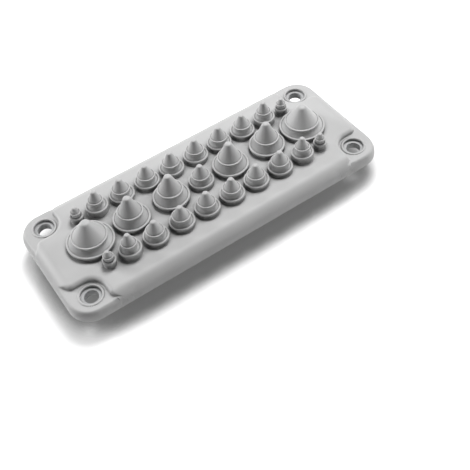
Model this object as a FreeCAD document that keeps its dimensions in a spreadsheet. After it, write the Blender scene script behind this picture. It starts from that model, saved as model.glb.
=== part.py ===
import FreeCAD, Part
import math
import os
import Sketcher
from FreeCAD import Vector

# Multi-cable entry plate: a hard carrier plate with a stadium window, and one soft moulding that
# covers its front and edge, fills the window and holds closed cable nipples with open sleeves.
# Millimetres. The origin is the centre of the plate's back face, +Z points out of the front, and
# +X runs along the plate.

sizes = {
    # Carrier plate
    "plate_length": 226.0,
    "plate_width": 88.0,
    "plate_corner": 13.0,
    "plate_thickness": 5.0,
    "plate_bevel": 0.6,
    "screw_end_margin": 13.0,
    "screw_side_margin": 11.5,
    "screw_hole": 9.2,
    "window_end_margin": 15.0,
    "window_side_margin": 12.0,
    # Anchor holes that lock the soft moulding on the plate
    "anchor_hole": 4.0,
    "anchor_recess": 1.2,
    "anchor_side_margin": 2.6,
    "anchor_end_margin": 3.1,
    "anchor_inner_x": 20.7,
    "anchor_outer_x": 56.9,
    "anchor_turn": 49.1,
    "fit_gap": 0.1,
    # How far a cutting form runs past the face that it opens
    "overrun": 0.2,
    # Soft cover over the front and edge
    "rim_grip": 2.4,
    "rim_lip": 1.0,
    "rim_corner": 15.4,
    "cover_height": 5.0,
    "edge_round": 9.2,
    "skin": 2.0,
    # Corner notches that bare the screw holes
    "land_drop": 3.5,
    "notch_radius": 9.6,
    "notch_run": 5.9,
    "ear_radius": 4.8,
    "ear_angle": 60.0,
    "notch_round": 2.8,
    "collar_bore": 13.6,
    "collar_width": 1.4,
    "collar_rise": 0.5,
    # Soft block in the window
    "block_rise": 3.0,
    "block_wall": 2.0,
    "block_draft": 3.0,
    "web_width": 1.6,
    "grip_bar_length": 31.4,
    "grip_bar_width": 5.3,
    "grip_bar_inset": 1.0,
    "grip_bar_rise": 5.0,
    # Places of the cells, from the window's ends and sides
    "row_margin": 10.2,
    "medium_margin": 50.75,
    "small_margin": 32.6,
    "tiny_margin": 18.0,
    "huge_margin": 16.3,
    "large_inner_x": 22.9,
    "cell_wall": 1.3,
    "nipple_wall": 1.1,
    "tip_wall": 2.2,
    "rim_step": 0.4,
    "tip_round": 0.7,
}

# Each kind of cell: radii and heights over the cover's flat top, from the floor to the tip, and
# then the radii and the length of its open sleeve behind the plate.
cells = {
    "tiny": {
        "floor_radius": 5.1, "lip_radius": 4.3, "lip_height": 5.0, "neck_height": 5.9,
        "rim_radius": 3.3, "rim_height": 8.3, "cone_radius": 2.7, "tip_radius": 1.2,
        "tip_height": 12.25, "wall_radius": 5.5, "mouth_radius": 2.7, "bore_radius": 1.7,
        "sleeve_length": 12.9,
    },
    "small": {
        "floor_radius": 8.45, "lip_radius": 7.35, "lip_height": 5.25, "neck_height": 6.4,
        "rim_radius": 5.1, "rim_height": 9.9, "cone_radius": 4.3, "tip_radius": 1.3,
        "tip_height": 17.1, "wall_radius": 8.9, "mouth_radius": 4.15, "bore_radius": 3.3,
        "sleeve_length": 15.85,
    },
    "medium": {
        "floor_radius": 9.05, "lip_radius": 8.25, "lip_height": 3.8, "neck_height": 5.0,
        "rim_radius": 6.0, "rim_height": 8.2, "cone_radius": 5.2, "tip_radius": 1.3,
        "tip_height": 16.1, "wall_radius": 9.6, "mouth_radius": 5.05, "bore_radius": 4.15,
        "sleeve_length": 15.85,
    },
    "large": {
        "floor_radius": 12.15, "lip_radius": 12.0, "lip_height": 4.4, "neck_height": 9.0,
        "rim_radius": 8.4, "rim_height": 9.9, "cone_radius": 7.4, "tip_radius": 1.8,
        "tip_height": 21.7, "wall_radius": 13.0, "mouth_radius": 6.95, "bore_radius": 5.95,
        "sleeve_length": 15.85,
    },
    "huge": {
        "floor_radius": 16.0, "lip_radius": 15.2, "lip_height": 3.5, "neck_height": 6.0,
        "rim_radius": 11.6, "rim_height": 8.0, "cone_radius": 10.6, "tip_radius": 2.0,
        "tip_height": 19.85, "wall_radius": 15.6, "mouth_radius": 9.4, "bore_radius": 8.7,
        "sleeve_length": 15.85,
    },
}
for kind, measures in cells.items():
    for measure, value in measures.items():
        sizes[f"{kind}_{measure}"] = value

doc = FreeCAD.newDocument("cable_entry_plate")
sheet = doc.addObject("Spreadsheet::Sheet", "Sizes")
for row, (alias, value) in enumerate(sizes.items(), start=1):
    sheet.set(f"A{row}", alias)
    sheet.set(f"B{row}", str(value))
    sheet.setAlias(f"B{row}", alias)
doc.recompute()

# Levels along Z and outlines in plan, as sheet expressions
PLATE_FRONT = "Sizes.plate_thickness"
COVER_TOP = "(Sizes.plate_thickness + Sizes.cover_height)"
LAND = f"({COVER_TOP} - Sizes.land_drop)"
UNDER_SKIN = f"({COVER_TOP} - Sizes.skin)"
BLOCK_BACK = "(-Sizes.block_rise)"
COVER_LENGTH = "(Sizes.plate_length + 2 * Sizes.rim_grip)"
COVER_WIDTH = "(Sizes.plate_width + 2 * Sizes.rim_grip)"
SCREW_X = "(Sizes.plate_length / 2 - Sizes.screw_end_margin)"
SCREW_Y = "(Sizes.plate_width / 2 - Sizes.screw_side_margin)"
WINDOW_END = "(Sizes.plate_length / 2 - Sizes.window_end_margin)"
WINDOW_RADIUS = "(Sizes.plate_width / 2 - Sizes.window_side_margin)"
WINDOW_CENTRE = f"({WINDOW_END} - {WINDOW_RADIUS})"
BLOCK_RADIUS = f"({WINDOW_RADIUS} - Sizes.fit_gap)"
HOLLOW_RADIUS = f"({BLOCK_RADIUS} - Sizes.block_wall)"
ANCHOR_ROW = f"({WINDOW_RADIUS} + Sizes.anchor_side_margin)"
ANCHOR_ARC = f"({WINDOW_RADIUS} + Sizes.anchor_end_margin)"


def number(expression):
    """Value of a sheet expression, for laying out a sketch before its constraints bind it."""
    return float(sheet.evalExpression(str(expression)))


def plane_of(body, role):
    """The body's own origin plane with that role."""
    return next(item for item in body.Origin.OriginFeatures if item.Role == role)


def new_sketch(body, role, offset="0"):
    """A sketch on one of the body's origin planes, lifted along the plane's normal."""
    sketch = body.newObject("Sketcher::SketchObject", f"{body.Name}_outline")
    sketch.AttachmentSupport = [(plane_of(body, role), "")]
    sketch.MapMode = "FlatFace"
    sketch.setExpression("AttachmentOffset.Base.z", offset)
    return sketch


def bind(sketch, kind, *references, size):
    """Adds a dimension and binds it to its sheet expression."""
    index = sketch.addConstraint(Sketcher.Constraint(kind, *references, number(size)))
    sketch.setExpression(f"Constraints[{index}]", str(size))


def draw_polygon(sketch, corners):
    """A closed outline with each corner's place bound to the sheet."""
    points = [Vector(number(across), number(along), 0) for across, along in corners]
    for index, point in enumerate(points):
        sketch.addGeometry(Part.LineSegment(point, points[(index + 1) % len(points)]), False)
    for index, (across, along) in enumerate(corners):
        before = (index - 1) % len(points)
        sketch.addConstraint(Sketcher.Constraint("Coincident", before, 2, index, 1))
        if across == "0":
            sketch.addConstraint(Sketcher.Constraint("PointOnObject", index, 1, -2))
        else:
            bind(sketch, "DistanceX", -1, 1, index, 1, size=across)
        if along == "0":
            sketch.addConstraint(Sketcher.Constraint("PointOnObject", index, 1, -1))
        else:
            bind(sketch, "DistanceY", -1, 1, index, 1, size=along)


def draw_stadium(sketch, centre_x, radius):
    """A slot outline: two half circles joined by tangent straights."""
    middle = number(centre_x)
    reach = number(radius)
    for side, start, end in ((1, -90, 90), (-1, 90, 270)):
        circle = Part.Circle(Vector(side * middle, 0, 0), Vector(0, 0, 1), reach)
        sketch.addGeometry(Part.ArcOfCircle(circle, math.radians(start), math.radians(end)), False)
    for side in (1, -1):
        start = Vector(side * middle, side * reach, 0)
        sketch.addGeometry(Part.LineSegment(start, Vector(-start.x, start.y, 0)), False)
    for first, second in ((0, 2), (2, 1), (1, 3), (3, 0)):
        sketch.addConstraint(Sketcher.Constraint("Tangent", first, 2, second, 1))
    sketch.addConstraint(Sketcher.Constraint("Symmetric", 0, 3, 1, 3, -1, 1))
    sketch.addConstraint(Sketcher.Constraint("PointOnObject", 0, 3, -1))
    bind(sketch, "DistanceX", -1, 1, 0, 3, size=centre_x)
    bind(sketch, "Radius", 0, size=radius)


def pad(body, sketch, height, taper="0"):
    """Extrudes a sketch along its normal."""
    feature = body.newObject("PartDesign::Pad", f"{body.Name}_pad")
    feature.Profile = sketch
    feature.setExpression("Length", height)
    feature.setExpression("TaperAngle", taper)
    doc.recompute()
    return feature


def fillet(body, base, radius, chosen):
    """Rounds the edges of the base feature that the test picks."""
    edges = [f"Edge{index}" for index, edge in enumerate(base.Shape.Edges, start=1) if chosen(edge)]
    feature = body.newObject("PartDesign::Fillet", f"{body.Name}_round")
    feature.Base = (base, edges)
    feature.setExpression("Radius", radius)
    doc.recompute()
    return feature


def is_upright(edge):
    """True for a straight edge along Z."""
    box = edge.BoundBox
    return box.ZLength > 1e-4 and box.XLength < 1e-4 and box.YLength < 1e-4


def rounded_slab(name, length, width, corner, bottom, top):
    """A rectangular block, centred in plan, with rounded upright edges."""
    body = doc.addObject("PartDesign::Body", name)
    sketch = new_sketch(body, "XY_Plane", bottom)
    half_x = f"{length} / 2"
    half_y = f"{width} / 2"
    draw_polygon(sketch, ((half_x, half_y), (f"-{half_x}", half_y), (f"-{half_x}", f"-{half_y}"),
                          (half_x, f"-{half_y}")))
    block = pad(body, sketch, f"({top}) - ({bottom})")
    return body, fillet(body, block, corner, is_upright)


def stadium(name, centre_x, radius, bottom, top):
    """A straight slot-shaped block."""
    body = doc.addObject("PartDesign::Body", name)
    sketch = new_sketch(body, "XY_Plane", bottom)
    draw_stadium(sketch, centre_x, radius)
    pad(body, sketch, f"({top}) - ({bottom})")
    return body


def box(name, length, width, height, place):
    """A plain box whose place is its low corner."""
    block = doc.addObject("Part::Box", name)
    for side, size in (("Length", length), ("Width", width), ("Height", height)):
        block.setExpression(side, size)
    for axis, size in zip("xyz", place):
        block.setExpression(f"Placement.Base.{axis}", size)
    return block


def post(name, radius, height):
    """An upright cylinder, copied later to its places."""
    cylinder = doc.addObject("Part::Cylinder", name)
    cylinder.setExpression("Radius", radius)
    cylinder.setExpression("Height", height)
    return cylinder


def turned(name, corners):
    """A turned solid about Z, from its half section in radius and height."""
    body = doc.addObject("PartDesign::Body", name)
    sketch = new_sketch(body, "XZ_Plane")
    draw_polygon(sketch, corners)
    turn = body.newObject("PartDesign::Revolution", f"{name}_turn")
    turn.Profile = sketch
    turn.ReferenceAxis = (sketch, ["V_Axis"])
    turn.Angle = 360
    doc.recompute()
    return body


def copies(source, places, level="0"):
    """Linked copies of one solid, one at each place in plan and all at one level."""
    links = []
    for index, place in enumerate(places, start=1):
        link = doc.addObject("App::Link", f"{source.Name}_{index}")
        link.LinkedObject = source
        for axis, size in zip("xyz", (*place, level)):
            link.setExpression(f"Placement.Base.{axis}", size)
        links.append(link)
    return links


def fuse(name, shapes):
    """One solid of several."""
    result = doc.addObject("Part::MultiFuse", name)
    result.Shapes = shapes
    return result


def cut(name, base, tool):
    """The base without the tool."""
    result = doc.addObject("Part::Cut", name)
    result.Base = base
    result.Tool = tool
    return result


def four(across, along):
    """The same place in all four quarters of the plate."""
    return [(f"{side_x}({across})", f"{side_y}({along})") for side_x in ("", "-") for side_y in ("", "-")]


SCREWS = four(SCREW_X, SCREW_Y)
ANCHORS = [
    *four("Sizes.anchor_inner_x", ANCHOR_ROW),
    *four("Sizes.anchor_outer_x", ANCHOR_ROW),
    *four(f"{WINDOW_CENTRE} + {ANCHOR_ARC} * cos(Sizes.anchor_turn * 1 deg)",
          f"{ANCHOR_ARC} * sin(Sizes.anchor_turn * 1 deg)"),
    (f"{WINDOW_CENTRE} + {ANCHOR_ARC}", "0"),
    (f"-({WINDOW_CENTRE} + {ANCHOR_ARC})", "0"),
]

# Carrier plate: moulded plate with a bevelled edge, the window, the screw holes and the anchor
# holes, whose wider ends open at the back
plate_blank, plate_block = rounded_slab("plate_blank", "Sizes.plate_length", "Sizes.plate_width",
                                        "Sizes.plate_corner", "0", PLATE_FRONT)
bevel = plate_blank.newObject("PartDesign::Chamfer", "plate_bevel")
bevel.Base = (plate_block, [f"Edge{index}" for index, edge in enumerate(plate_block.Shape.Edges, start=1)
                            if edge.BoundBox.ZMax < 1e-4])
bevel.setExpression("Size", "Sizes.plate_bevel")
window = stadium("window", WINDOW_CENTRE, WINDOW_RADIUS, "-Sizes.overrun",
                 f"{PLATE_FRONT} + Sizes.overrun")
screw_drill = post("screw_drill", "Sizes.screw_hole / 2", PLATE_FRONT)
anchor_drill = post("anchor_drill", "Sizes.anchor_hole / 2", PLATE_FRONT)
plate_drills = [*copies(screw_drill, SCREWS), *copies(anchor_drill, ANCHORS)]
plate_openings = fuse("plate_openings", [window, *plate_drills])
carrier_plate = cut("carrier_plate", plate_blank, plate_openings)
carrier_plate.Label = "carrier_plate"

# Soft cover: rounded block over the plate's front and edge, down to the lip behind the plate
cover_block, cover_sides = rounded_slab("cover_block", COVER_LENGTH, COVER_WIDTH, "Sizes.rim_corner",
                                        "-Sizes.rim_lip", COVER_TOP)
cover_top_level = number(COVER_TOP)
fillet(cover_block, cover_sides, "Sizes.edge_round",
       lambda edge: edge.BoundBox.ZMin > cover_top_level - 1e-4)

# Raised field: what stays at full height between the corner notches. In each corner its outline
# runs in along one ear, round the screw hole and out along the other ear.
EAR_SLOPE = "tan(Sizes.ear_angle * 1 deg)"
FIELD_X = f"({COVER_LENGTH} / 2 + Sizes.overrun)"
FIELD_Y = f"({COVER_WIDTH} / 2 + Sizes.overrun)"
NOTCH_X = f"({SCREW_X} - Sizes.notch_radius)"
NOTCH_Y = f"({SCREW_Y} - Sizes.notch_radius)"
EAR_SET = "(Sizes.ear_radius * tan(Sizes.ear_angle * 0.5 deg))"
SIDE_EAR_X = f"({SCREW_X} + Sizes.notch_run + {EAR_SET})"
END_EAR_Y = f"({SCREW_Y} + Sizes.notch_run + {EAR_SET})"
SIDE_OUT_Y = f"({NOTCH_Y} - ({FIELD_X} - {SIDE_EAR_X}) * {EAR_SLOPE})"
END_OUT_X = f"({NOTCH_X} - ({FIELD_Y} - {END_EAR_Y}) * {EAR_SLOPE})"
quarter = ((FIELD_X, SIDE_OUT_Y), (SIDE_EAR_X, NOTCH_Y), (NOTCH_X, NOTCH_Y), (NOTCH_X, END_EAR_Y),
           (END_OUT_X, FIELD_Y))
field_outline = []
for side_x, side_y in (("", ""), ("-", ""), ("-", "-"), ("", "-")):
    corners = [(f"{side_x}{across}", f"{side_y}{along}") for across, along in quarter]
    field_outline += corners if side_x == side_y else reversed(corners)
raised_field = doc.addObject("PartDesign::Body", "raised_field")
field_sketch = new_sketch(raised_field, "XY_Plane", f"{LAND} - Sizes.overrun")
draw_polygon(field_sketch, field_outline)
field_block = pad(raised_field, field_sketch, f"{COVER_TOP} - {LAND} + Sizes.overrun")


def is_at(edge, places):
    """True for an upright edge that stands at one of the places, in any quarter."""
    return is_upright(edge) and any(
        abs(abs(edge.BoundBox.Center.x) - across) + abs(abs(edge.BoundBox.Center.y) - along) < 1e-3
        for across, along in places)


ear_places = [(number(SIDE_EAR_X), number(NOTCH_Y)), (number(NOTCH_X), number(END_EAR_Y))]
notch_places = [(number(NOTCH_X), number(NOTCH_Y))]
eared = fillet(raised_field, field_block, "Sizes.ear_radius", lambda edge: is_at(edge, ear_places))
notched = fillet(raised_field, eared, "Sizes.notch_radius", lambda edge: is_at(edge, notch_places))
field_reach = (number(FIELD_X), number(FIELD_Y))
fillet(raised_field, notched, "Sizes.notch_round", lambda edge: (
    edge.BoundBox.ZMin > cover_top_level - 1e-4
    and abs(edge.BoundBox.Center.x) < field_reach[0] - 1e-3
    and abs(edge.BoundBox.Center.y) < field_reach[1] - 1e-3))
UNDER_LIP = "(-Sizes.rim_lip - Sizes.overrun)"
low_cover = box("low_cover", f"2 * {FIELD_X}", f"2 * {FIELD_Y}", f"{LAND} - {UNDER_LIP}",
                (f"-{FIELD_X}", f"-{FIELD_Y}", UNDER_LIP))
cover_form = doc.addObject("Part::MultiCommon", "cover_form")
cover_form.Shapes = [cover_block, fuse("cover_levels", [raised_field, low_cover])]

# Room for the carrier plate, the hollow under the skin and the collars round the screw holes
plate_room, plate_room_block = rounded_slab(
    "plate_room", "(Sizes.plate_length + 2 * Sizes.fit_gap)", "(Sizes.plate_width + 2 * Sizes.fit_gap)",
    "Sizes.plate_corner + Sizes.fit_gap", UNDER_LIP, PLATE_FRONT)
hollow = stadium("hollow", WINDOW_CENTRE, HOLLOW_RADIUS, f"{BLOCK_BACK} - Sizes.overrun", UNDER_SKIN)
collar_bore = post("collar_bore", "Sizes.collar_bore / 2", f"{COVER_TOP} - {PLATE_FRONT}")
COLLAR_INSIDE = "Sizes.collar_bore / 2"
COLLAR_CREST = "(Sizes.collar_bore / 2 + Sizes.collar_width / 2)"
COLLAR_OUTSIDE = "(Sizes.collar_bore / 2 + Sizes.collar_width)"
collar = turned("collar", (
    ("0", PLATE_FRONT), (COLLAR_OUTSIDE, PLATE_FRONT), (COLLAR_OUTSIDE, LAND),
    (COLLAR_CREST, f"{LAND} + Sizes.collar_rise"), (COLLAR_INSIDE, LAND), ("0", LAND)))
collared = fuse("collared", [cover_form, *copies(collar, SCREWS)])
collar_bores = copies(collar_bore, SCREWS, PLATE_FRONT)
cover = cut("cover", collared, fuse("cover_rooms", [plate_room, hollow, *collar_bores]))

# Window block: a drafted wall round the hollow, webs between the cells, two grip bars on the wall
# and the anchor pegs that pass through the plate
wall_block = doc.addObject("PartDesign::Body", "wall_block")
wall_sketch = new_sketch(wall_block, "XY_Plane", PLATE_FRONT)
draw_stadium(wall_sketch, WINDOW_CENTRE, BLOCK_RADIUS)
wall_pad = pad(wall_block, wall_sketch, f"{PLATE_FRONT} - {BLOCK_BACK}", "-Sizes.block_draft")
wall_pad.Reversed = True
block_wall = cut("block_wall", wall_block, hollow)
ROW = f"({WINDOW_RADIUS} - Sizes.row_margin)"
TINY_X = f"({WINDOW_END} - Sizes.tiny_margin)"
SMALL_X = f"({WINDOW_END} - Sizes.small_margin)"
MEDIUM_X = f"({WINDOW_END} - Sizes.medium_margin)"
HUGE_X = f"({WINDOW_END} - Sizes.huge_margin)"
LARGE_OUTER_X = f"((Sizes.large_inner_x + {HUGE_X}) / 2)"
web_height = f"{UNDER_SKIN} - {BLOCK_BACK}"
web_rows = (("middle_web", HUGE_X, "0"), ("far_web", TINY_X, ROW), ("near_web", TINY_X, f"-{ROW}"))
webs = [
    box(name, f"2 * {reach}", "Sizes.web_width", web_height,
        (f"-{reach}", f"{row} - Sizes.web_width / 2", BLOCK_BACK))
    for name, reach, row in web_rows
]
BAR_INSIDE = f"({HOLLOW_RADIUS} - Sizes.grip_bar_inset)"
bars = [
    box(f"grip_bar_{name}", "Sizes.grip_bar_length", "Sizes.grip_bar_width",
        "Sizes.grip_bar_rise - Sizes.fit_gap",
        ("-Sizes.grip_bar_length / 2", inside, "-Sizes.grip_bar_rise"))
    for name, inside in (("far", BAR_INSIDE), ("near", f"-{BAR_INSIDE} - Sizes.grip_bar_width"))
]
peg = post("anchor_peg", "Sizes.anchor_hole / 2 - Sizes.fit_gap", f"{PLATE_FRONT} - Sizes.anchor_recess")

# Cells: closed nipples in front, cylinders through the block and open sleeves behind
medium_row = [f"{step} / 5 * {MEDIUM_X}" for step in (-5, -3, -1, 1, 3, 5)]
large_row = ("Sizes.large_inner_x", LARGE_OUTER_X)
places = {
    "tiny": four(TINY_X, ROW),
    "small": four(SMALL_X, ROW),
    "medium": [("0", "0")] + [(across, f"{side}{ROW}") for side in ("", "-") for across in medium_row],
    "large": [(f"{side}{reach}", "0") for side in ("", "-") for reach in large_row],
    "huge": [(HUGE_X, "0"), (f"-{HUGE_X}", "0")],
}


def cell_solid(kind):
    """The filled outer form of one kind of cell, from its tip to the mouth of its sleeve."""
    own = f"Sizes.{kind}_"
    return turned(f"{kind}_cell", (
        ("0", f"{COVER_TOP} + {own}tip_height"),
        (f"{own}tip_radius", f"{COVER_TOP} + {own}tip_height - Sizes.tip_round"),
        (f"{own}cone_radius", f"{COVER_TOP} + {own}rim_height - Sizes.rim_step"),
        (f"{own}rim_radius", f"{COVER_TOP} + {own}rim_height"),
        (f"{own}rim_radius", f"{COVER_TOP} + {own}neck_height"),
        (f"{own}lip_radius", f"{COVER_TOP} + {own}lip_height"),
        (f"{own}floor_radius", COVER_TOP),
        (f"{own}floor_radius", f"{COVER_TOP} - Sizes.skin / 2"),
        (f"{own}wall_radius", f"{COVER_TOP} - Sizes.skin / 2"),
        (f"{own}wall_radius", BLOCK_BACK),
        (f"{own}mouth_radius", f"-{own}sleeve_length"),
        ("0", f"-{own}sleeve_length"),
    ))


def cell_room(kind):
    """The hollow inside one kind of cell, open at the mouth of its sleeve."""
    own = f"Sizes.{kind}_"
    return turned(f"{kind}_room", (
        ("0", f"{COVER_TOP} + {own}tip_height - Sizes.tip_wall"),
        (f"{own}rim_radius - Sizes.nipple_wall", f"{COVER_TOP} + {own}neck_height - Sizes.nipple_wall"),
        (f"{own}lip_radius - Sizes.nipple_wall", f"{COVER_TOP} + {own}lip_height - Sizes.nipple_wall"),
        (f"{own}lip_radius - Sizes.nipple_wall", UNDER_SKIN),
        (f"{own}wall_radius - Sizes.cell_wall", UNDER_SKIN),
        (f"{own}wall_radius - Sizes.cell_wall", BLOCK_BACK),
        (f"{own}bore_radius", f"-{own}sleeve_length"),
        (f"{own}bore_radius", f"-{own}sleeve_length - Sizes.overrun"),
        ("0", f"-{own}sleeve_length - Sizes.overrun"),
    ))


filled_cells = []
rooms = []
for kind, spots in places.items():
    filled_cells += copies(cell_solid(kind), spots)
    rooms += copies(cell_room(kind), spots)
pegs = copies(peg, ANCHORS, "Sizes.anchor_recess")
moulding = fuse("moulding", [cover, block_wall, *webs, *bars, *pegs, *filled_cells])
membrane = cut("membrane", moulding, fuse("cell_rooms", rooms))
membrane.Label = "membrane"
doc.recompute()

failed = [item.Name for item in doc.Objects if "Invalid" in item.State or "Error" in item.State]
if failed:
    raise SystemExit(f"these objects failed: {failed}")
os.makedirs("parts", exist_ok=True)
for piece in (carrier_plate, membrane):
    shape = piece.Shape
    if shape.isNull() or not shape.isValid():
        raise SystemExit(f"{piece.Label} has no valid shape")
    print(piece.Label, "solids", len(shape.Solids), "volume", round(shape.Volume), "box", shape.BoundBox)
    shape.exportStep(f"parts/{piece.Label}.step")
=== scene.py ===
import math
import bmesh
import bpy
from mathutils import Matrix, Vector, geometry


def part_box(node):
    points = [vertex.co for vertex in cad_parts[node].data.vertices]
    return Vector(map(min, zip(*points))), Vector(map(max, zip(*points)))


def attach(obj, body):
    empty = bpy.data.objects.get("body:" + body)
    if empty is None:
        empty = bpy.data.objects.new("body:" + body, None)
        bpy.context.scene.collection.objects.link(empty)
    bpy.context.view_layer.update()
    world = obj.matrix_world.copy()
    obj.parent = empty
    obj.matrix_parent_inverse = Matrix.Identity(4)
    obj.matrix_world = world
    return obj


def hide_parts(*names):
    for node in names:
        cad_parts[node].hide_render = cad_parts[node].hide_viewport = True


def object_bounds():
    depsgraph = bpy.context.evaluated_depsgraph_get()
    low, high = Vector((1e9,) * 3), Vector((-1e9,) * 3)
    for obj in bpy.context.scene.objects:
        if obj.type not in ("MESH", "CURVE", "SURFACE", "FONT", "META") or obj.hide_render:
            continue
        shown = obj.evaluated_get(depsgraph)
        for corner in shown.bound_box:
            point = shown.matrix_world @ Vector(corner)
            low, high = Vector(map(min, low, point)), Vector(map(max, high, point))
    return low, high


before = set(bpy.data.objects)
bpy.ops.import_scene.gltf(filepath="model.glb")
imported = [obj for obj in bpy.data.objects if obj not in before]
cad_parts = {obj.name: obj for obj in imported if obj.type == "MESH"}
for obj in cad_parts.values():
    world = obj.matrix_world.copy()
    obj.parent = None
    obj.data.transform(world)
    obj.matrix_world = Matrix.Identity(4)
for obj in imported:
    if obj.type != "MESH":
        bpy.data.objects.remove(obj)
cad_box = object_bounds()


# Carrier plate: the stiff inner plate that the four screws clamp to the cabinet wall. It is moulded
# in a hard light grey plastic with slightly broken edges, and its back shows round the window.
MM = 0.001
WELD = 2e-6
plate_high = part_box("carrier_plate")[1]
PLATE_X = plate_high.x / MM
PLATE_Y = plate_high.y / MM
PLATE_FRONT = plate_high.z / MM
PLATE_CORNER = 13.0
PLATE_EDGE = 0.45
SCREW_X = 100.0
SCREW_Y = 32.5
SCREW_HOLE = 4.6
WINDOW_CENTRE = 66.0
WINDOW_RADIUS = 32.0
ANCHOR_HOLE = 2.0
ANCHORS = ((20.7, 34.6), (56.9, 34.6), (89.0, 26.6), (101.1, 0.0))


def mirrored(x, y):
    """The places that one place takes about the plate's two middle lines."""
    return sorted({(side_x * x, side_y * y) for side_x in (-1, 1) for side_y in (-1, 1)})


def on_circle(radius, degrees):
    """The point of a circle round the origin at an angle."""
    return radius * Vector((math.cos(math.radians(degrees)), math.sin(math.radians(degrees))))


def rounded(half_x, half_y, corner, arc_steps=10, side_steps=(24, 10)):
    """Points round a rectangle with round corners, anticlockwise from the right side's middle."""
    points = []
    corners = ((1, 1), (-1, 1), (-1, -1), (1, -1))
    for number, (side_x, side_y) in enumerate(corners):
        centre = Vector((side_x * (half_x - corner), side_y * (half_y - corner)))
        for step in range(arc_steps + 1):
            points.append(centre + on_circle(corner, 90.0 * (number + step / arc_steps)))
        next_x, next_y = corners[(number + 1) % 4]
        end = Vector((next_x * (half_x - corner), next_y * (half_y - corner)))
        end += on_circle(corner, 90.0 * (number + 1))
        steps = side_steps[number % 2]
        points += [points[-1].lerp(end, step / steps) for step in range(1, steps)]
    return points


def slot(centre_x, radius, arc_steps=40, side_steps=24):
    """Points round a straight slot along X, anticlockwise."""
    points = []
    for side in (1, -1):
        centre = Vector((side * centre_x, 0.0))
        for step in range(arc_steps + 1):
            points.append(centre + on_circle(radius, 180.0 * step / arc_steps - 90.0 * side))
        end = Vector((-side * centre_x, side * radius))
        points += [points[-1].lerp(end, step / side_steps) for step in range(1, side_steps)]
    return points


def circle(x, y, radius, steps=32):
    """Points round a circle, anticlockwise."""
    return [Vector((x, y)) + on_circle(radius, 360.0 * step / steps) for step in range(steps)]


def fill(outer, holes, height, inner=(), flip=False):
    """Triangles over an outline, round its holes and through inner points, at the rule's height."""
    points = []
    edges = []
    owners = []
    for number, loop in enumerate((outer, *holes)):
        edges += [(len(points) + at, len(points) + (at + 1) % len(loop)) for at in range(len(loop))]
        points += loop
        owners += [number] * len(loop)
    centres = [(sum(loop, Vector((0, 0))) / len(loop), loop[0]) for loop in holes]
    inner = [spot for spot in inner
             if all((spot - centre).length > (edge - centre).length for centre, edge in centres)]
    points += inner
    owners += [0] * len(inner)
    # Output type 1 keeps the triangles inside the outline, those over the holes too
    spots, _, faces, origins, *_ = geometry.delaunay_2d_cdt(points, edges, [], 1, 1e-5)
    owner = [owners[origin[0]] if origin else 0 for origin in origins]
    corners = [Vector((spot.x, spot.y, height(spot))) for spot in spots]
    kept = [face for face in faces
            if not (owner[face[0]] and owner[face[0]] == owner[face[1]] == owner[face[2]])]
    return corners, [tuple(reversed(face)) if flip else tuple(face) for face in kept]


def wall(rings):
    """Quads between rings of equal count, each ring a plan outline with its height."""
    corners = [Vector((spot.x, spot.y, height)) for outline, height in rings for spot in outline]
    count = len(rings[0][0])
    faces = []
    for row in range(len(rings) - 1):
        for at in range(count):
            low = row * count
            after = (at + 1) % count
            faces.append((low + at, low + after, low + count + after, low + count + at))
    return corners, faces


def finish_mesh(mesh, data, crease):
    """Turns the faces outward and shades them smooth up to the crease angle."""
    bmesh.ops.recalc_face_normals(mesh, faces=mesh.faces)
    mesh.to_mesh(data)
    mesh.free()
    data.shade_smooth()
    data.set_sharp_from_angle(angle=math.radians(crease))


def add_object(name, data):
    """An object at the origin, unturned, in the scene."""
    made = bpy.data.objects.new(name, data)
    bpy.context.scene.collection.objects.link(made)
    return made


def make_piece(name, parts, material, crease=38.0):
    """Joins surfaces given in millimetres into one closed mesh."""
    mesh = bmesh.new()
    for corners, faces in parts:
        made = [mesh.verts.new(corner * MM) for corner in corners]
        for face in faces:
            mesh.faces.new([made[at] for at in face])
    bmesh.ops.remove_doubles(mesh, verts=mesh.verts, dist=WELD)
    data = bpy.data.meshes.new(name)
    finish_mesh(mesh, data, crease)
    data.materials.append(material)
    return add_object(name, data)


def edge_rings(outline, low, high, radius, steps=3):
    """Rings up a wall whose top and bottom edges are rounded; outline(inset) gives a plan loop."""
    arc = [on_circle(radius, 90.0 * step / steps) for step in range(steps + 1)]
    rings = [(outline(radius - spot.y), low + radius - spot.x) for spot in arc]
    rings += [(outline(radius - spot.x), high - radius + spot.y) for spot in arc]
    return rings


def add_node(tree, kind, sockets=None, **settings):
    """A node with its settings, and with constants on its own sockets."""
    node = tree.nodes.new(kind)
    for key, value in settings.items():
        setattr(node, key, value)
    for socket, value in (sockets or {}).items():
        node.inputs[socket].default_value = value
    return node


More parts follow.
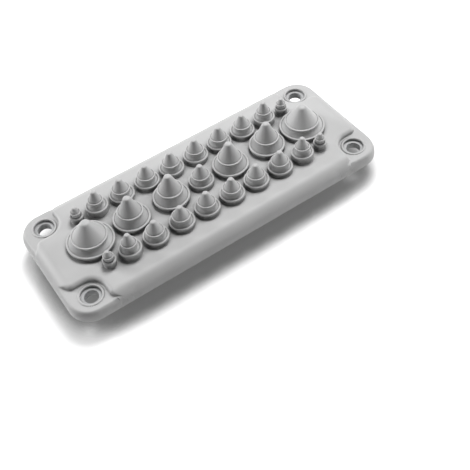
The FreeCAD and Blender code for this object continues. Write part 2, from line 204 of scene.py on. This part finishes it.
def moulded(name, colour, roughness, grain, depth):
    """A moulded plastic or elastomer: faint clouding, a fine tool grain, and painted shade that
    darkens its creases.
    """
    material = bpy.data.materials.new(name)
    material.use_nodes = True
    tree = material.node_tree
    link = tree.links.new
    shader = tree.nodes["Principled BSDF"]
    place = add_node(tree, "ShaderNodeTexCoord")
    clouds = add_node(tree, "ShaderNodeTexNoise", {"Scale": 38.0, "Detail": 3.0})
    tint = add_node(tree, "ShaderNodeValToRGB")
    for end, (position, gain) in zip(tint.color_ramp.elements, ((0.3, 0.97), (0.7, 1.02))):
        end.position = position
        end.color = (*(min(1.0, channel * gain) for channel in colour), 1.0)
    gloss = add_node(tree, "ShaderNodeMapRange",
                     {"To Min": roughness - 0.04, "To Max": roughness + 0.05})
    fine = add_node(tree, "ShaderNodeTexNoise", {"Scale": grain, "Detail": 4.0})
    bump = add_node(tree, "ShaderNodeBump", {"Strength": 0.25, "Distance": depth})
    # Painted shade: ambient occlusion darkens the colour in creases, hollows and at the feet of
    # walls.
    crease_shade_ao = add_node(tree, "ShaderNodeAmbientOcclusion", {"Distance": 0.006}, samples=8)
    shade = add_node(tree, "ShaderNodeMapRange",
                     {"From Min": 0.4, "From Max": 0.85, "To Min": 0.25})
    painted_shade_mix = add_node(tree, "ShaderNodeMix", data_type="RGBA", blend_type="MULTIPLY")
    painted_shade_mix.inputs["Factor"].default_value = 1.0
    for texture in (clouds, fine):
        link(place.outputs["Object"], texture.inputs["Vector"])
    link(clouds.outputs["Fac"], tint.inputs["Fac"])
    link(crease_shade_ao.outputs["AO"], shade.inputs["Value"])
    link(tint.outputs["Color"], painted_shade_mix.inputs["A"])
    link(shade.outputs["Result"], painted_shade_mix.inputs["B"])
    link(painted_shade_mix.outputs["Result"], shader.inputs["Base Color"])
    link(clouds.outputs["Fac"], gloss.inputs["Value"])
    link(gloss.outputs["Result"], shader.inputs["Roughness"])
    link(fine.outputs["Fac"], bump.inputs["Height"])
    link(bump.outputs["Normal"], shader.inputs["Normal"])
    return material


def round_loop(place, radius, steps):
    """An outline rule for a round hole: the loop that lies an inset outside it."""
    return lambda inset: circle(*place, radius + inset, steps)


hard_plastic = moulded("hard_grey_plastic", (0.50, 0.505, 0.51),
                       roughness=0.42, grain=2200.0, depth=0.00003)
plate_loops = [
    lambda inset: rounded(PLATE_X - inset, PLATE_Y - inset, PLATE_CORNER - inset),
    lambda inset: slot(WINDOW_CENTRE, WINDOW_RADIUS + inset),
]
plate_loops += [round_loop(place, SCREW_HOLE, 40) for place in mirrored(SCREW_X, SCREW_Y)]
for anchor in ANCHORS:
    plate_loops += [round_loop(place, ANCHOR_HOLE, 24) for place in mirrored(*anchor)]
plate_outer, *plate_holes = [loop(PLATE_EDGE) for loop in plate_loops]
plate_parts = [
    fill(plate_outer, plate_holes, lambda spot: PLATE_FRONT),
    fill(plate_outer, plate_holes, lambda spot: 0.0, flip=True),
]
plate_parts += [wall(edge_rings(loop, 0.0, PLATE_FRONT, PLATE_EDGE)) for loop in plate_loops]
carrier = make_piece("carrier_plate_moulding", plate_parts, hard_plastic)
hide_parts("carrier_plate")
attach(carrier, "root")


# Soft cover: the front of the soft moulding. It is a light grey elastomer with a silky surface,
# moulded over the plate's front and edge, with its rim rolled over and its corners sunk.
cover_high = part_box("membrane")[1]
COVER_X = cover_high.x / MM
COVER_Y = cover_high.y / MM
COVER_TOP = 10.0
COVER_CORNER = 15.4
EDGE_ROUND = 9.2
LIP_BACK = -1.0
LIP_EDGE = 0.35
SKIN_BACK = COVER_TOP - 2.0
FIT = 0.1
BLOCK_WALL = 2.0
# A corner notch: a round hollow beside the screw, a straight run, then an ear that turns away
LAND = 6.5
NOTCH_RADIUS = 9.6
NOTCH_RUN = 5.9
EAR_RADIUS = 4.8
EAR_START = 90
EAR_END = 30
EAR_OUT = on_circle(1.0, EAR_END)
NOTCH_TOP = 3.3
NOTCH_FOOT = 1.1
NOTCH_FOOT_RISE = 0.9
RIM_BLEND = 0.7
COLLAR_INNER = 6.8
COLLAR_OUTER = 8.2
COLLAR_RISE = 0.5


def edge_depth(spot):
    """How far a place lies inside the cover's outline."""
    across = abs(spot.x) - (COVER_X - COVER_CORNER)
    along = abs(spot.y) - (COVER_Y - COVER_CORNER)
    if across > 0 and along > 0:
        return COVER_CORNER - math.hypot(across, along)
    return COVER_CORNER - max(across, along)


def notch_distance(spot):
    """How far a place lies inside the raised field, negative in a corner notch."""
    across = abs(spot.x) - SCREW_X
    along = abs(spot.y) - SCREW_Y
    across, along = max(across, along), min(across, along)
    if across < 0:
        return math.hypot(across, along) - NOTCH_RADIUS
    if across < NOTCH_RUN:
        return -NOTCH_RADIUS - along
    away = Vector((across - NOTCH_RUN, along + NOTCH_RADIUS + EAR_RADIUS))
    turned = math.degrees(math.atan2(away.y, away.x))
    if away.length > 1e-9 and EAR_END < turned <= EAR_START + 0.1:
        return EAR_RADIUS - away.length
    return EAR_RADIUS - away.dot(EAR_OUT)


def notch_height(distance):
    """Height of the notch's wall: a rolled top edge and a small hollow at its foot."""
    if distance >= NOTCH_TOP:
        return COVER_TOP
    if distance >= 0:
        share = math.sqrt(1 - (1 - distance / NOTCH_TOP) ** 2)
        return LAND + NOTCH_FOOT_RISE + (COVER_TOP - LAND - NOTCH_FOOT_RISE) * share
    if distance > -NOTCH_FOOT:
        return LAND + NOTCH_FOOT_RISE * (1 - math.sqrt(1 - (distance / NOTCH_FOOT + 1) ** 2))
    return LAND


def cover_height(spot):
    """Height of the cover's front: rolled rim, corner notches and the collars in them."""
    inward = max(0.0, min(EDGE_ROUND, edge_depth(spot)))
    block = COVER_TOP - EDGE_ROUND + math.sqrt(EDGE_ROUND ** 2 - (EDGE_ROUND - inward) ** 2)
    field = notch_height(notch_distance(spot))
    soften = RIM_BLEND * min(1.0, COVER_TOP - field)
    height = min(block, field)
    if soften > 1e-6:
        height -= max(0.0, soften - abs(block - field)) ** 2 / (4 * soften)
    ring = (COLLAR_INNER + COLLAR_OUTER) / 2
    reach = (COLLAR_OUTER - COLLAR_INNER) / 2
    off = (math.hypot(abs(spot.x) - SCREW_X, abs(spot.y) - SCREW_Y) - ring) / reach
    if abs(off) < 1:
        height = max(height, LAND + COLLAR_RISE * math.sqrt(1 - off * off))
    return height


def notch_line(distance, run_steps=8, end_step=0.8, end_steps=16):
    """Points along one corner notch at a distance from its wall, for a screw at the origin."""
    half = [on_circle(NOTCH_RADIUS + distance, angle - 90.0) for angle in range(-45, 0, 4)]
    half += [Vector((NOTCH_RUN * step / run_steps, -NOTCH_RADIUS - distance))
             for step in range(run_steps)]
    centre = Vector((NOTCH_RUN, -NOTCH_RADIUS - EAR_RADIUS))
    half += [centre + on_circle(EAR_RADIUS - distance, angle)
             for angle in range(EAR_START, EAR_END, -6)]
    end = centre + on_circle(EAR_RADIUS - distance, EAR_END)
    half += [end + on_circle(end_step * step, EAR_END - 90.0) for step in range(end_steps)]
    return half + [Vector((spot.y, spot.x)) for spot in half[1:]]


def outline_of_cover(inset):
    """The cover's outline, drawn in by an inset."""
    return rounded(COVER_X - inset, COVER_Y - inset, COVER_CORNER - inset, 16, (48, 20))


def plate_room(inset):
    """The outline of the room that the plate fills, drawn in by an inset."""
    return rounded(PLATE_X + FIT - inset, PLATE_Y + FIT - inset, PLATE_CORNER + FIT - inset)


def under_window(inset):
    """The outline of the block in the plate's window, drawn in by an inset."""
    return slot(WINDOW_CENTRE, WINDOW_RADIUS - FIT - inset)


# The cells' places and sizes, shared by the holes in the cover and by the cells themselves. Each
# has its nipple's radii and heights over the cover, its sleeve, and its rows as (reach, count, y).
ROW_Y = 21.8
CELLS = {
    "tiny": dict(
        floor=4.4, lip=4.3, lip_up=4.8, rim=3.3, rim_up=8.3, neck_up=5.9, cone=2.7,
        tip=1.3, tip_up=12.25, wall=5.5, mouth=2.7, bore=1.7, sleeve=12.9, sides=48,
        rows=((80.0, 2, ROW_Y),)),
    "small": dict(
        floor=7.7, lip=7.35, lip_up=5.0, rim=5.1, rim_up=9.9, neck_up=6.4, cone=4.3,
        tip=1.5, tip_up=17.1, wall=8.9, mouth=4.15, bore=3.3, sleeve=15.85, sides=56,
        rows=((65.4, 2, ROW_Y),)),
    "medium": dict(
        floor=8.3, lip=8.25, lip_up=3.4, rim=6.0, rim_up=8.2, neck_up=5.0, cone=5.2,
        tip=1.6, tip_up=16.1, wall=9.6, mouth=5.05, bore=4.15, sleeve=15.85, sides=60,
        rows=((47.25, 6, ROW_Y), (0.0, 1, 0.0))),
    "large": dict(
        floor=11.2, lip=12.0, lip_up=3.6, rim=8.4, rim_up=9.9, neck_up=9.0, cone=7.4,
        tip=2.1, tip_up=21.7, wall=13.0, mouth=6.95, bore=5.95, sleeve=15.85, sides=72,
        rows=((22.9, 2, 0.0), (52.3, 2, 0.0))),
    "huge": dict(
        floor=15.1, lip=15.2, lip_up=3.2, rim=11.6, rim_up=8.0, neck_up=6.0, cone=10.6,
        tip=2.6, tip_up=19.85, wall=15.6, mouth=9.4, bore=8.7, sleeve=15.85, sides=88,
        rows=((81.7, 2, 0.0),)),
}
HOLE_INSET = 0.8
cell_holes = []
for size in CELLS.values():
    for reach, count, row in size["rows"]:
        for at in range(count):
            x = -reach + 2 * reach * at / max(1, count - 1)
            for y in sorted({row, -row}):
                cell_holes.append(circle(x, y, size["floor"] - HOLE_INSET, 40))

elastomer = moulded("soft_grey_elastomer", (0.54, 0.54, 0.54),
                    roughness=0.5, grain=1500.0, depth=0.00004)
RIM_STEPS = 14
NOTCH_MARGIN = 0.12
COLLAR_RADII = (6.85, 7.0, 7.25, 7.5, 7.75, 8.0, 8.12, 8.2, 8.5)
inner_points = []
for step in range(1, RIM_STEPS + 1):
    inner_points += outline_of_cover(EDGE_ROUND - on_circle(EDGE_ROUND, 90.0 * step / RIM_STEPS).x)
notch_steps = [on_circle(NOTCH_FOOT, angle).y - NOTCH_FOOT for angle in (0, 20, 40, 60, 75)]
notch_steps += [0.0, 0.03]
notch_steps += [NOTCH_TOP - on_circle(NOTCH_TOP, angle).x for angle in range(15, 91, 9)]
for side_x, side_y in mirrored(1, 1):
    for distance in notch_steps:
        for spot in notch_line(distance):
            place = Vector((side_x * (SCREW_X + spot.x), side_y * (SCREW_Y + spot.y)))
            if edge_depth(place) > NOTCH_MARGIN:
                inner_points.append(place)
    for radius in COLLAR_RADII:
        inner_points += circle(side_x * SCREW_X, side_y * SCREW_Y, radius, 48)
collar_holes = [circle(x, y, COLLAR_INNER, 48) for x, y in mirrored(SCREW_X, SCREW_Y)]
LIP_ARC = ((0.0, 1.0), (0.13, 0.5), (0.5, 0.13), (1.0, 0.0))
lip_outside = [(outline_of_cover(LIP_EDGE * inward), LIP_BACK + LIP_EDGE * up)
               for inward, up in LIP_ARC]
lip_inside = [(plate_room(-LIP_EDGE * outward), LIP_BACK + LIP_EDGE * up)
              for outward, up in LIP_ARC[::-1]]
cover_parts = [
    fill(outline_of_cover(0), cell_holes + collar_holes, cover_height, inner_points),
    wall([(outline_of_cover(0), COVER_TOP - EDGE_ROUND), *lip_outside]),
    fill(outline_of_cover(LIP_EDGE), [plate_room(-LIP_EDGE)], lambda spot: LIP_BACK, flip=True),
    wall([*lip_inside, (plate_room(0), PLATE_FRONT)]),
    fill(plate_room(0), [under_window(BLOCK_WALL)] + collar_holes,
         lambda spot: PLATE_FRONT, flip=True),
    wall([(under_window(BLOCK_WALL), PLATE_FRONT), (under_window(BLOCK_WALL), SKIN_BACK)]),
    fill(under_window(BLOCK_WALL), cell_holes, lambda spot: SKIN_BACK, flip=True),
]
cover_parts += [wall([(loop, SKIN_BACK), (loop, COVER_TOP)]) for loop in cell_holes]
cover_parts += [wall([(loop, PLATE_FRONT), (loop, LAND)]) for loop in collar_holes]
cover = make_piece("soft_cover", cover_parts, elastomer)


# Cable cells: each cable has a closed stepped nipple in front, to be cut to size, and an open
# tapered sleeve behind. All are turned forms of the same elastomer, moulded in rows.
NIPPLE_WALL = 1.1
CELL_WALL = 1.3
BLOCK_BACK = -3.0
RIM_BEAD = 0.12
RIM_DEPTH = 1.05
NECK_IN = 0.35
LIP_BEAD = 0.2
LIP_DEPTH = 1.5
SHELF_IN = 1.1
FLOOR_SEAT = 0.7
SEAT_DEPTH = 0.6


def rounded_line(corners, arc_steps=4):
    """A half section from corners (radius, height, rounding), with each rounding an arc."""
    line = []
    for at, (across, up, rounding) in enumerate(corners):
        here = Vector((across, up))
        if rounding == 0 or at in (0, len(corners) - 1):
            line.append(here)
            continue
        before = Vector(corners[at - 1][:2]) - here
        after = Vector(corners[at + 1][:2]) - here
        half = before.angle(after) / 2
        cut = min(rounding / math.tan(half), 0.48 * before.length, 0.48 * after.length)
        start = here + before.normalized() * cut
        end = here + after.normalized() * cut
        for step in range(arc_steps + 1):
            share = step / arc_steps
            line.append(start.lerp(here, share).lerp(here.lerp(end, share), share))
    return line


def cell_section(size):
    """Half section of one cell, from the tip down its outside and back up its inside."""
    tip_top = COVER_TOP + size["tip_up"]
    rim_top = COVER_TOP + size["rim_up"]
    neck_foot = COVER_TOP + size["neck_up"]
    lip_top = COVER_TOP + size["lip_up"]
    neck = size["rim"] - NECK_IN
    rim = size["rim"] + RIM_BEAD
    lip = size["lip"] + LIP_BEAD
    seat = size["floor"] + FLOOR_SEAT
    corners = [
        # closed tip and cone
        (0.0, tip_top, 0.0),
        (size["tip"], tip_top - 0.1, size["tip"] * 1.1),
        # groove at the cone's foot, then the rim's bead
        (size["cone"] - 0.15, rim_top - RIM_BEAD, 0.3),
        (size["cone"] + 0.1, rim_top + RIM_BEAD, 0.3),
        (rim, rim_top + RIM_BEAD, 0.55),
        (rim, rim_top - RIM_DEPTH, 0.45),
        # undercut neck
        (neck, rim_top - RIM_DEPTH - 0.1, 0.3),
        (neck, neck_foot, 0.9),
        # shelf and the lip's bead
        (size["lip"] - SHELF_IN - 0.25, lip_top - 0.1, 0.4),
        (size["lip"] - SHELF_IN, lip_top + LIP_BEAD, 0.35),
        (lip, lip_top + LIP_BEAD, 0.85),
        (lip, lip_top - LIP_DEPTH, 0.7),
        (size["lip"] - 0.6, lip_top - LIP_DEPTH - 0.15, 0.3),
        # foot, and its seat in the cover
        (size["floor"] - 0.3, COVER_TOP, 0.3),
        (seat, COVER_TOP + 0.01, 0.0),
        (seat, COVER_TOP - SEAT_DEPTH, 0.0),
        (size["wall"], COVER_TOP - SEAT_DEPTH, 0.0),
        # outside of the sleeve, its mouth and its bore
        (size["wall"], BLOCK_BACK, 0.25),
        (size["mouth"], -size["sleeve"], 0.35),
        (size["bore"], -size["sleeve"], 0.25),
        # room inside, up to the skin of the tip
        (size["wall"] - CELL_WALL, BLOCK_BACK, 2.0),
        (size["lip"] - NIPPLE_WALL, lip_top - NIPPLE_WALL, 0.0),
        (neck - NIPPLE_WALL, neck_foot - NIPPLE_WALL, 0.0),
        (0.0, tip_top - 2 * NIPPLE_WALL, 0.0),
    ]
    return rounded_line(corners)


def cell_tree():
    """Geometry nodes that turn a half section about Z and set the turned form along a row."""
    tree = bpy.data.node_groups.new("cells_in_a_row", "GeometryNodeTree")
    face = tree.interface
    face.new_socket("Section", in_out="INPUT", socket_type="NodeSocketGeometry")
    for label, kind in (("Sides", "NodeSocketInt"), ("Count", "NodeSocketInt"),
                        ("Reach", "NodeSocketFloat"), ("Row offset", "NodeSocketFloat"),
                        ("Material", "NodeSocketMaterial")):
        face.new_socket(label, in_out="INPUT", socket_type=kind)
    face.new_socket("Cells", in_out="OUTPUT", socket_type="NodeSocketGeometry")
    link = tree.links.new

    def node(kind, **settings):
        return add_node(tree, kind, **settings)

    def math_node(operation, first, second):
        made = node("ShaderNodeMath", operation=operation)
        for socket, value in zip(made.inputs, (first, second)):
            if isinstance(value, (int, float)):
                socket.default_value = value
            else:
                link(value, socket)
        return made.outputs[0]

    # A grid with a column of points for each side, each point moved to its place on the form
    given = node("NodeGroupInput").outputs
    size = node("GeometryNodeAttributeDomainSize", component="MESH")
    link(given["Section"], size.inputs["Geometry"])
    points = size.outputs["Point Count"]
    grid = node("GeometryNodeMeshGrid")
    link(math_node("ADD", given["Sides"], 1), grid.inputs["Vertices X"])
    link(points, grid.inputs["Vertices Y"])
    index = node("GeometryNodeInputIndex").outputs[0]
    turn = math_node("FLOOR", math_node("DIVIDE", index, points), 0)
    along = math_node("MODULO", index, points)
    sample = node("GeometryNodeSampleIndex", data_type="FLOAT_VECTOR", domain="POINT")
    link(given["Section"], sample.inputs["Geometry"])
    link(node("GeometryNodeInputPosition").outputs[0], sample.inputs["Value"])
    link(along, sample.inputs["Index"])
    angle = math_node("MULTIPLY", math_node("DIVIDE", turn, given["Sides"]), math.tau)
    spin = node("ShaderNodeVectorRotate", rotation_type="Z_AXIS")
    link(sample.outputs["Value"], spin.inputs["Vector"])
    link(angle, spin.inputs["Angle"])
    shape = node("GeometryNodeSetPosition")
    link(grid.outputs["Mesh"], shape.inputs["Geometry"])
    link(spin.outputs[0], shape.inputs["Position"])
    weld = node("GeometryNodeMergeByDistance")
    weld.inputs["Distance"].default_value = WELD
    link(shape.outputs[0], weld.inputs["Geometry"])

    # Two mirrored rows of places, which fall together when the row lies on the middle line
    join = node("GeometryNodeJoinGeometry")
    for side in (1, -1):
        line = node("GeometryNodeMeshLine", mode="END_POINTS")
        for label, sign in (("Start Location", -1), ("Offset", 1)):
            corner = node("ShaderNodeCombineXYZ")
            link(math_node("MULTIPLY", given["Reach"], sign), corner.inputs["X"])
            link(math_node("MULTIPLY", given["Row offset"], side), corner.inputs["Y"])
            link(corner.outputs[0], line.inputs[label])
        link(given["Count"], line.inputs["Count"])
        link(line.outputs[0], join.inputs[0])
    spots = node("GeometryNodeMergeByDistance")
    spots.inputs["Distance"].default_value = 0.0001
    link(join.outputs[0], spots.inputs["Geometry"])
    place = node("GeometryNodeInstanceOnPoints")
    link(spots.outputs[0], place.inputs["Points"])
    link(weld.outputs[0], place.inputs["Instance"])
    real = node("GeometryNodeRealizeInstances")
    link(place.outputs[0], real.inputs[0])
    finish = node("GeometryNodeSetMaterial")
    link(real.outputs[0], finish.inputs["Geometry"])
    link(given["Material"], finish.inputs["Material"])
    link(finish.outputs[0], node("NodeGroupOutput").inputs["Cells"])
    return tree


cells_in_a_row = cell_tree()


def make_cells(name, section, sides, count, reach, row):
    """Runs the tree on one half section and keeps the result as a plain mesh."""
    data = bpy.data.meshes.new(name)
    data.from_pydata([(spot.x * MM, 0.0, spot.y * MM) for spot in section],
                     [(at, at + 1) for at in range(len(section) - 1)], [])
    piece = add_object(name, data)
    modifier = piece.modifiers.new("cells", "NODES")
    modifier.node_group = cells_in_a_row
    sockets = {item.name: item.identifier
               for item in cells_in_a_row.interface.items_tree if item.in_out == "INPUT"}
    for label, value in (("Sides", sides), ("Count", count), ("Reach", reach * MM),
                         ("Row offset", row * MM), ("Material", elastomer)):
        modifier[sockets[label]] = value
    evaluated = piece.evaluated_get(bpy.context.evaluated_depsgraph_get())
    result = bpy.data.meshes.new_from_object(evaluated)
    piece.modifiers.remove(modifier)
    piece.data = result
    mesh = bmesh.new()
    mesh.from_mesh(result)
    finish_mesh(mesh, result, 50.0)
    return piece


soft_pieces = [cover]
for kind, size in CELLS.items():
    for number, (reach, count, row) in enumerate(size["rows"], start=1):
        soft_pieces.append(make_cells(f"cells_{kind}_{number}", cell_section(size), size["sides"],
                                      count, reach, row))


# Window wall: the drafted outer wall of the block that fills the plate's window. It belongs to the
# same soft moulding, hangs from the cover's skin, and ends behind the plate with a broken edge.
BLOCK_TOP = SKIN_BACK + 0.3
BLOCK_EDGE = 0.4
BLOCK_ARC = ((0.0, 1.0), (0.3, 0.3), (1.0, 0.0))
BLOCK_DRAFT = math.tan(math.radians(3.0))


def block_outside(inset):
    """The outline of the block's back end, narrowed by its draft and drawn in by an inset."""
    return under_window((PLATE_FRONT - BLOCK_BACK) * BLOCK_DRAFT + inset)


block_rings = [(under_window(BLOCK_WALL), BLOCK_TOP), (under_window(0), BLOCK_TOP),
               (under_window(0), PLATE_FRONT)]
block_rings += [(block_outside(BLOCK_EDGE * inward), BLOCK_BACK + BLOCK_EDGE * up)
                for inward, up in BLOCK_ARC]
block_rings += [(under_window(BLOCK_WALL - BLOCK_EDGE * outward), BLOCK_BACK + BLOCK_EDGE * up)
                for outward, up in BLOCK_ARC[::-1]]
block_rings.append(block_rings[0])
soft_pieces.append(make_piece("window_wall", [wall(block_rings)], elastomer))


# Webs: one long thin rib of the soft moulding along each row of cells. They join the sleeves and
# run from the cover's skin to the block's back.
WEB = 1.6
WEB_EDGE = 0.3
WEB_LINES = ((81.7, 0.0), (80.0, ROW_Y), (80.0, -ROW_Y))


def bar(half_x, middle_y, half_y, low, high, edge):
    """A straight bar along X with rounded edges."""
    def outline(inset):
        corner = max(0.05, edge * 1.2 - inset)
        return [Vector((spot.x, spot.y + middle_y))
                for spot in rounded(half_x - inset, half_y - inset, corner, 4, (6, 2))]
    rings = edge_rings(outline, low, high, edge)
    return [wall(rings), fill(rings[-1][0], [], lambda spot: high),
            fill(rings[0][0], [], lambda spot: low, flip=True)]


for number, (half_x, y) in enumerate(WEB_LINES, start=1):
    web = bar(half_x, y, WEB / 2, BLOCK_BACK, BLOCK_TOP, WEB_EDGE)
    soft_pieces.append(make_piece(f"web_{number}", web, elastomer))


# Grip bars: two short soft bars behind the plate, at the middle of the window's long sides. They
# are moulded on the window wall and lap over the plate's back.
BAR_HALF_X = 15.7
BAR_WIDTH = 5.3
BAR_BACK = -5.0
BAR_EDGE = 0.5
BAR_INSIDE = WINDOW_RADIUS - FIT - BLOCK_WALL - 1.0
for number, side in enumerate((1, -1), start=1):
    middle = side * (BAR_INSIDE + BAR_WIDTH / 2)
    grip_bar = bar(BAR_HALF_X, middle, BAR_WIDTH / 2, BAR_BACK, -FIT, BAR_EDGE)
    soft_pieces.append(make_piece(f"grip_bar_{number}", grip_bar, elastomer))


# Anchor pegs: short soft pegs that fill the plate's anchor holes and hold the two mouldings
# together. They are turned by the cells' tree, and stop a little inside the plate's back.
PEG_RADIUS = 1.9
PEG_BACK = 1.2
PEG_TOP = PLATE_FRONT + 0.5
peg_section = rounded_line([(0.0, PEG_BACK, 0.0), (PEG_RADIUS, PEG_BACK + 0.4, 0.5),
                            (PEG_RADIUS, PEG_TOP, 0.0), (0.0, PEG_TOP, 0.0)])
for number, (reach, row) in enumerate(ANCHORS, start=1):
    soft_pieces.append(make_cells(f"anchor_pegs_{number}", peg_section, 20, 2, reach, row))
for piece in soft_pieces:
    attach(piece, "root")
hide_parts("membrane")


# Floor: the white table of the product photo, under the sleeves' ends. Only what is seen of it
# glows, so that it turns white further out while the part's soft shadow stays; near the part,
# ambient occlusion also darkens its colour and glow into a painted soft shadow.
FLOOR_REACH = 3.0


def seen_rays(tree):
    """One for rays from the camera, a mirror or glass, and nought for all others."""
    rays = add_node(tree, "ShaderNodeLightPath")
    seen = rays.outputs["Is Camera Ray"]
    for kind in ("Is Glossy Ray", "Is Transmission Ray"):
        either = add_node(tree, "ShaderNodeMath", operation="MAXIMUM")
        tree.links.new(seen, either.inputs[0])
        tree.links.new(rays.outputs[kind], either.inputs[1])
        seen = either.outputs[0]
    return seen


floor_level = cad_box[0].z
floor_data = bpy.data.meshes.new("floor")
floor_data.from_pydata([(FLOOR_REACH * x, FLOOR_REACH * y, floor_level)
                        for x, y in ((-1, -1), (1, -1), (1, 1), (-1, 1))], [], [(0, 1, 2, 3)])
floor = add_object("floor", floor_data)
floor_material = bpy.data.materials.new("white_floor")
floor_material.use_nodes = True
floor_tree = floor_material.node_tree
floor_link = floor_tree.links.new
floor_shader = floor_tree.nodes["Principled BSDF"]
floor_shader.inputs["Roughness"].default_value = 0.9
floor_shader.inputs["Specular IOR Level"].default_value = 0.1
# Painted shadow: ambient occlusion darkens the floor's colour and glow close to the part.
floor_shade = add_node(floor_tree, "ShaderNodeAmbientOcclusion", {"Distance": 0.03})
floor_painted_shadow = add_node(floor_tree, "ShaderNodeMapRange",
                      {"From Min": 0.58, "From Max": 0.92, "To Min": 0.2, "To Max": 0.9})
floor_place = add_node(floor_tree, "ShaderNodeTexCoord")
floor_far = add_node(floor_tree, "ShaderNodeVectorMath", operation="LENGTH")
floor_white = add_node(floor_tree, "ShaderNodeMapRange",
                       {"From Min": 0.25, "From Max": 0.9, "To Min": 0.62, "To Max": 1.15},
                       interpolation_type="SMOOTHSTEP")
floor_glow = add_node(floor_tree, "ShaderNodeMath", operation="MULTIPLY")
glow = add_node(floor_tree, "ShaderNodeEmission", {"Color": (1, 1, 1, 1)})
add = add_node(floor_tree, "ShaderNodeAddShader")
pick = add_node(floor_tree, "ShaderNodeMixShader")
floor_link(floor_shade.outputs["AO"], floor_painted_shadow.inputs["Value"])
floor_link(floor_painted_shadow.outputs["Result"], floor_shader.inputs["Base Color"])
floor_link(floor_place.outputs["Object"], floor_far.inputs[0])
floor_link(floor_far.outputs["Value"], floor_white.inputs["Value"])
floor_link(floor_painted_shadow.outputs["Result"], floor_glow.inputs[0])
floor_link(floor_white.outputs["Result"], floor_glow.inputs[1])
floor_link(floor_glow.outputs[0], glow.inputs["Strength"])
floor_link(floor_shader.outputs[0], add.inputs[0])
floor_link(glow.outputs[0], add.inputs[1])
floor_link(seen_rays(floor_tree), pick.inputs[0])
floor_link(floor_shader.outputs[0], pick.inputs[1])
floor_link(add.outputs[0], pick.inputs[2])
floor_link(pick.outputs[0], floor_tree.nodes["Material Output"].inputs["Surface"])
floor_data.materials.append(floor_material)


# Lamps: three soft boxes aimed at the part, a high key from the right and two low ones from the
# right and from behind. The room itself gives almost no light and is seen white.
ROOM_LIGHT = 0.02


def area_light(name, place, size, power):
    """A soft square lamp that faces the part."""
    data = bpy.data.lights.new(name, "AREA")
    data.shape = "RECTANGLE"
    data.size = data.size_y = size
    data.energy = power
    lamp = add_object(name, data)
    lamp.location = place
    lamp.rotation_euler = (-Vector(place)).to_track_quat("-Z", "Y").to_euler()


area_light("key_lamp", (0.42, 0.30, 1.10), size=0.45, power=11.5)
area_light("right_lamp", (1.10, -0.19, 0.45), size=0.45, power=5.0)
area_light("back_lamp", (-0.74, 0.84, 0.45), size=0.4, power=8.5)
world = bpy.data.worlds.new("studio")
bpy.context.scene.world = world
world.use_nodes = True
world_tree = world.node_tree
world_link = world_tree.links.new
room = world_tree.nodes["Background"]
room.inputs["Color"].default_value = (1, 1, 1, 1)
room.inputs["Strength"].default_value = ROOM_LIGHT
white = add_node(world_tree, "ShaderNodeBackground", {"Color": (1, 1, 1, 1), "Strength": 1.0})
choose = add_node(world_tree, "ShaderNodeMixShader")
world_link(seen_rays(world_tree), choose.inputs[0])
world_link(room.outputs[0], choose.inputs[1])
world_link(white.outputs[0], choose.inputs[2])
world_link(choose.outputs[0], world_tree.nodes["World Output"].inputs["Surface"])


# Camera: placed as it was solved from the photo's screw holes and outline, with its focal length
# in the pixels of the 470 pixel wide picture.
SENSOR = 36.0
FOCAL_PIXELS = 797.2
PICTURE_PIXELS = 470.0
CAMERA_AT = Vector((-156.87, -319.89, 390.0))
camera_data = bpy.data.cameras.new("camera")
camera_data.sensor_width = SENSOR
camera_data.lens = FOCAL_PIXELS / PICTURE_PIXELS * SENSOR
camera_data.clip_start = 0.01
camera_data.clip_end = 20.0
camera = add_object("camera", camera_data)
right = Vector((0.82438, -0.56104, -0.07502))
up = Vector((0.47679, 0.61686, 0.62622))
back = Vector((-0.30506, -0.55201, 0.77603))
turn = Matrix((right, up, back)).transposed().to_4x4()
camera.matrix_world = Matrix.Translation(CAMERA_AT * MM) @ turn
bpy.context.scene.camera = camera
bpy.context.scene.view_settings.view_transform = "Standard"
